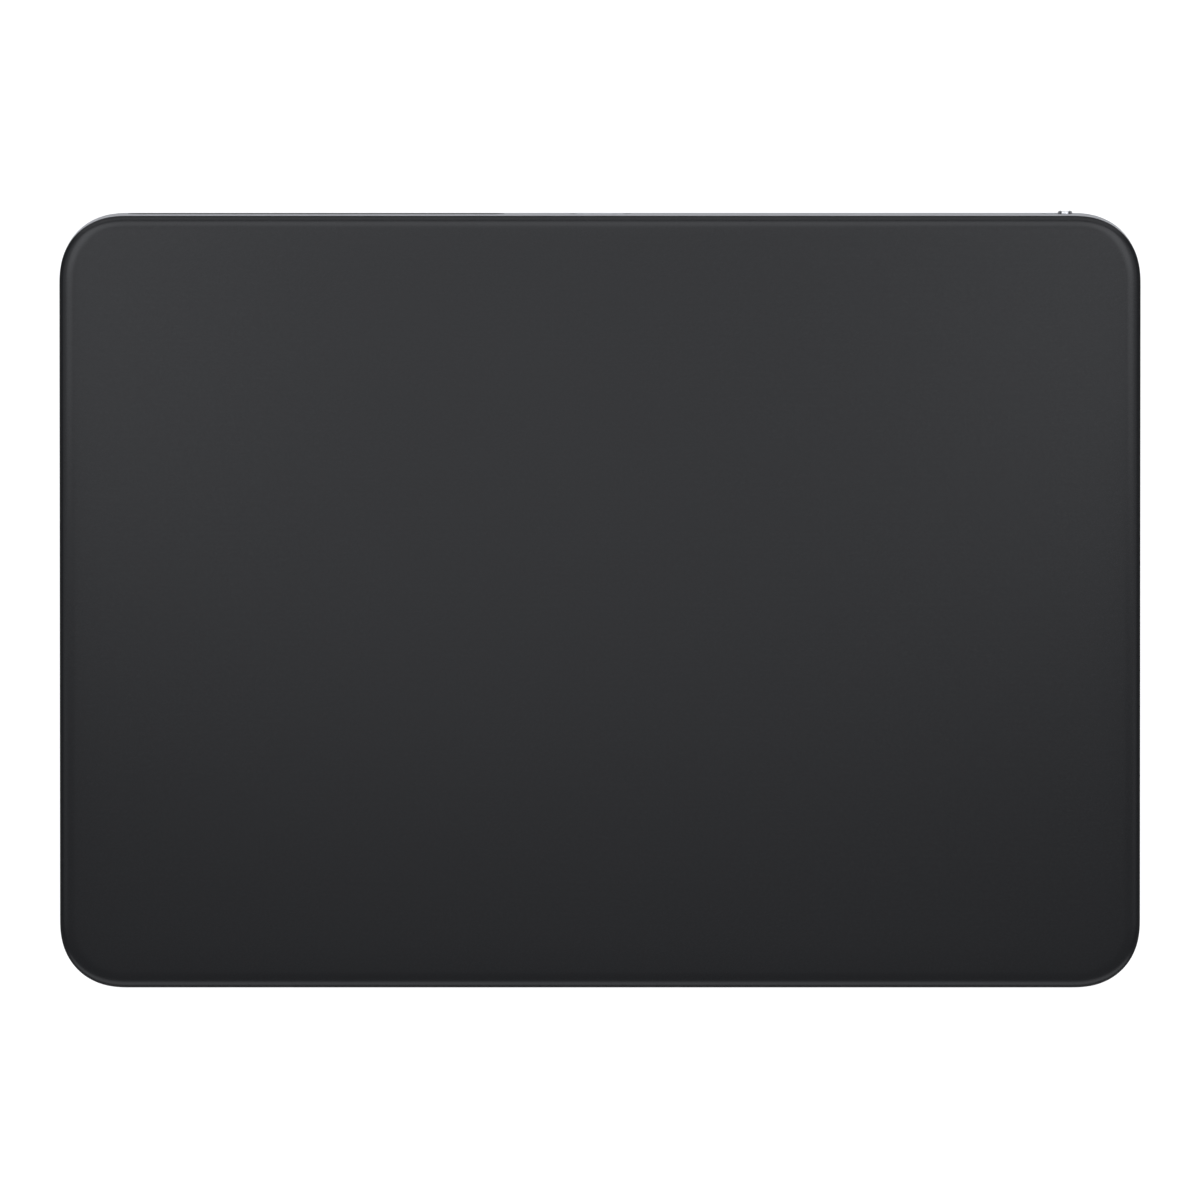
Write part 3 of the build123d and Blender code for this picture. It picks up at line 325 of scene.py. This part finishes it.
def outline(inset, corner_points=40, side_points=24):
    """Closed outline drawn in by the inset: each corner is a fifth-degree curve on six points that lie on
    its two sides, so that curvature grows from nothing and dies away again, and straight runs join them."""
    half = np.array([WIDTH / 2, GLASS_LENGTH / 2]) - inset
    reach = CORNER_REACH - CORNER_SHRINK * inset
    share = np.array([1, 1 - CORNER_NEAR, 1 - CORNER_FAR])
    before = np.stack([-reach * share, 0 * share], 1)
    after = np.stack([0 * share, reach * share[::-1]], 1)
    points = np.concatenate([before, after])
    t = np.linspace(0, 1, corner_points)[:, None]
    curve = sum(math.comb(5, k) * t**k * (1 - t) ** (5 - k) * points[k] for k in range(6))
    loop = []
    for quarter in range(4):
        angle = quarter * math.pi / 2
        turn = np.array([[math.cos(angle), -math.sin(angle)], [math.sin(angle), math.cos(angle)]])
        corner = half * [(1, -1), (1, 1), (-1, 1), (-1, -1)][quarter]
        loop.append(curve @ turn.T + corner)
    full = []
    for quarter in range(4):
        full.append(loop[quarter])
        a, b = loop[quarter][-1], loop[(quarter + 1) % 4][0]
        full.append(a + (b - a) * np.linspace(0, 1, side_points + 2)[1:-1, None])
    return np.concatenate(full)


def ringed_mesh(name, rings, finish):
    """Closed mesh from rings of equal length, from the middle of the underside to the middle of the top."""
    count = len(rings[0])
    points = np.concatenate(rings)
    step = np.arange(count)
    ahead = (step + 1) % count
    walls = [
        np.stack([i * count + step, i * count + ahead, (i + 1) * count + ahead, (i + 1) * count + step], 1)
        for i in range(len(rings) - 1)
    ]
    faces = [list(f) for f in np.concatenate(walls).tolist()]
    faces.append(step[::-1].tolist())
    faces.append(((len(rings) - 1) * count + step).tolist())
    mesh = bpy.data.meshes.new(name)
    mesh.from_pydata((points * MM).tolist(), [], faces)
    mesh.materials.append(finish)
    mesh.shade_smooth()
    made = bpy.data.objects.new(name, mesh)
    bpy.context.scene.collection.objects.link(made)
    return made


def on_glass(flat, drop):
    """Turns points across the glass, and their drop below its top, into places in the row frame."""
    along = np.array([0, math.cos(TILT), math.sin(TILT)])
    normal = np.array([0, -math.sin(TILT), math.cos(TILT)])
    places = flat[:, :1] * np.array([1, 0, 0]) + flat[:, 1:] * along - np.reshape(drop, (-1, 1)) * normal
    return places + GLASS_MIDDLE


def roll():
    """Insets and drops of the rolled rim, whose points keep (1 - x) to the power plus (1 - y) to the power
    at one, x and y being inset and drop as shares of the ellipse. It meets the flat top without a crease,
    and stops where it grows as steep as the bevel."""
    angle = np.linspace(0, math.pi / 2, ROLL_STEPS)[1:]
    level_share = np.cos(angle) ** (2 / ROLL_POWER)
    upright_share = np.sin(angle) ** (2 / ROLL_POWER)
    slope = ROLL_DROP / ROLL_WIDTH * (level_share / upright_share) ** (ROLL_POWER - 1)
    kept = slope < BEVEL_SLOPE
    return ROLL_WIDTH * (1 - level_share)[kept], ROLL_DROP * (1 - upright_share)[kept]


def rim_section():
    """Cross-section of the glass as insets and drops, from the middle of the underside to that of the top:
    a chamfer, an upright wall, a bevel and the roll. The top also falls, by the cube of its way into the
    ease band."""
    roll_inset, roll_drop = roll()
    bevel_drop = roll_drop[0] + roll_inset[0] * BEVEL_SLOPE
    top = [(0.0, bevel_drop + EDGE_BREAK), (0.0, bevel_drop)]
    top.append((EDGE_BREAK, bevel_drop - EDGE_BREAK * BEVEL_SLOPE))
    top += list(zip(roll_inset, roll_drop))
    top += [(inset, 0.0) for inset in np.linspace(ROLL_WIDTH, EASE_WIDTH, EASE_STEPS)[1:]]
    under = [(inset, GLASS_THICKNESS) for inset in (MIDDLE_INSET, RIM_BAND, RIM_CHAMFER)]
    under.append((0.0, GLASS_THICKNESS - RIM_CHAMFER))
    eased = [(inset, drop + EASE_DROP * (1 - inset / EASE_WIDTH) ** 3) for inset, drop in top]
    return under + eased + [(MIDDLE_INSET, 0.0)]


def ring(inset, drop):
    """One ring of the glass. Deep inside, where the outline can't be drawn in, it is scaled down instead."""
    if inset > EASE_WIDTH:
        return on_glass(outline(0) * (1 - inset / (GLASS_LENGTH / 2)), drop)
    return on_glass(outline(inset), drop)


glass = ringed_mesh("touch_glass", [ring(inset, drop) for inset, drop in rim_section()], touch_glass)
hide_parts("glass")
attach(glass, "touch_surface")

# Springs, flexures and ribbon

# Shares of each one's length from the fixed end that bound its bend. The points are worked out, but the
# copies made here stay straight
FLEXURE_RAMP = (0.56, 0.68)
SPRING_FOLD = (0.03, 0.97)
RIBBON_DROP = (0.05, 0.95)
MERGE_DISTANCE = 0.001
SHARP_ANGLE = math.radians(30.0)

# Axis along which each one runs, towards its high or low side, then the bend, the body at its fixed end and
# the body at its moving end
BENDING = {
    "flexure_front_left": ("y", 1, FLEXURE_RAMP, "enclosure", "touch_surface"),
    "flexure_front_right": ("y", 1, FLEXURE_RAMP, "enclosure", "touch_surface"),
    "flexure_back_left": ("y", -1, FLEXURE_RAMP, "enclosure", "touch_surface"),
    "flexure_back_right": ("y", -1, FLEXURE_RAMP, "enclosure", "touch_surface"),
    "ribbon": ("z", 1, RIBBON_DROP, "enclosure", "touch_surface"),
    "engine_spring_left": ("x", 1, SPRING_FOLD, "touch_surface", "haptic_mass"),
    "engine_spring_right": ("x", -1, SPRING_FOLD, "touch_surface", "haptic_mass"),
}


def joined_copy(name):
    """A copy of a solid's mesh with its loose triangles joined up, smooth except at its sharp edges."""
    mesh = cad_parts[name].data.copy()
    work = bmesh.new()
    work.from_mesh(mesh)
    bmesh.ops.remove_doubles(work, verts=work.verts, dist=MERGE_DISTANCE * MM)
    work.to_mesh(mesh)
    work.free()
    mesh.shade_smooth()
    mesh.set_sharp_from_angle(angle=SHARP_ANGLE)
    made = bpy.data.objects.new("bending_" + name, mesh)
    bpy.context.scene.collection.objects.link(made)
    return made


def along(name, axis, direction, share):
    """The point at this share of the piece's length, counted from its low side, or its high side if the
    direction is -1."""
    low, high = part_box(name)
    root, tip = (low, high) if direction > 0 else (high, low)
    point = low.copy()
    setattr(point, axis, getattr(root, axis) + share * (getattr(tip, axis) - getattr(root, axis)))
    return point


for name, (axis, direction, shares, fixed, moving) in BENDING.items():
    start, end = (along(name, axis, direction, share) for share in shares)
    piece = joined_copy(name)
    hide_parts(name)
    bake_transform(piece)


# Floor: matt white acrylic over a light table, so that it stays white under the shadows
TABLE_GLOW = 0.85
FLOOR_WIDTH = 30.0
acrylic = material(
    "matt white acrylic",
    roughness=0.6,
    ior=1.49,
    base_color=linear("A8A8A8"),
    emission_color=linear("FFFFFF"),
    emission_strength=TABLE_GLOW,
)
bpy.ops.mesh.primitive_plane_add(size=FLOOR_WIDTH)
floor = bpy.context.object
floor.name = "floor"
floor.data.materials.append(acrylic)

# Light: its tint, the brightness all round, and the height of the boxes overhead in metres
LIGHT_TINT = "F8FAFF"
SURROUND = 0.22
OVERHEAD = 0.4


def softbox(name, place, aim, width, height, radiance):
    """A rectangular light of this size and brightness that looks at the aim and is never seen itself."""
    lamp = bpy.data.lights.new(name, "AREA")
    lamp.shape = "RECTANGLE"
    lamp.size = width
    lamp.size_y = height
    lamp.energy = radiance * math.pi * width * height
    lamp.color = linear(LIGHT_TINT)[:3]
    made = bpy.data.objects.new(name, lamp)
    made.location = place
    made.rotation_euler = (Vector(aim) - Vector(place)).to_track_quat("-Z", "Y").to_euler()
    made.visible_camera = False
    bpy.context.scene.collection.objects.link(made)
    return made


def overhead(name, x, y, width, height, radiance):
    """A box overhead that looks straight down."""
    softbox(name, (x, y, OVERHEAD), (x, y, 0), width, height, radiance)


# Two boxes low over the back half fade the glass from back to front, slim ones close by keep its sides as
# bright, those further out lift its back corners, and long boxes behind and in front draw the rims' lines
overhead("overhead front box", 0, 0.039, 0.156, 0.223, 0.684)
overhead("overhead back box", 0, 0.22, 0.28, 0.16, 1.52)
for name, side in (("left", -1), ("right", 1)):
    overhead(name + " slim box", side * 0.079, 0.027, 0.038, 0.13, 2.9)
    overhead(name + " inner box", side * 0.22, 0.143, 0.16, 0.314, 2.0)
    overhead(name + " outer box", side * 0.45, 0.1, 0.3, 0.4, 0.5)
softbox("back box", (0, 0.52, 0.3), (0, 0, 0), 1.2, 0.3, 0.87)
softbox("front box", (0, -0.424, 0.265), (0, 0, 0), 1.2, 0.21, 1.06)
softbox("upper front box", (0, -0.203, 0.457), (0, 0, 0), 1.0, 0.2, 0.1)

world = bpy.data.worlds.new("studio")
bpy.context.scene.world = world
world.use_nodes = True
world.node_tree.nodes["Background"].inputs["Color"].default_value = linear(LIGHT_TINT)
world.node_tree.nodes["Background"].inputs["Strength"].default_value = SURROUND

# Camera: straight above, far off with a long lens, the back edge at the top of the picture, which is this
# many millimetres wide at the height of the glass
PICTURE_WIDTH = 177.65
PICTURE_HEIGHT = 8.0
FOCAL_LENGTH = 800
SENSOR_WIDTH = 36
SIGHT = 20
lens = bpy.data.cameras.new("camera")
lens.lens = FOCAL_LENGTH
lens.sensor_width = SENSOR_WIDTH
lens.clip_end = SIGHT
camera = bpy.data.objects.new("camera", lens)
camera.location = (0, 0, (PICTURE_WIDTH * FOCAL_LENGTH / SENSOR_WIDTH + PICTURE_HEIGHT) * MM)
bpy.context.scene.collection.objects.link(camera)
bpy.context.scene.camera = camera
bpy.context.scene.view_settings.view_transform = "Standard"
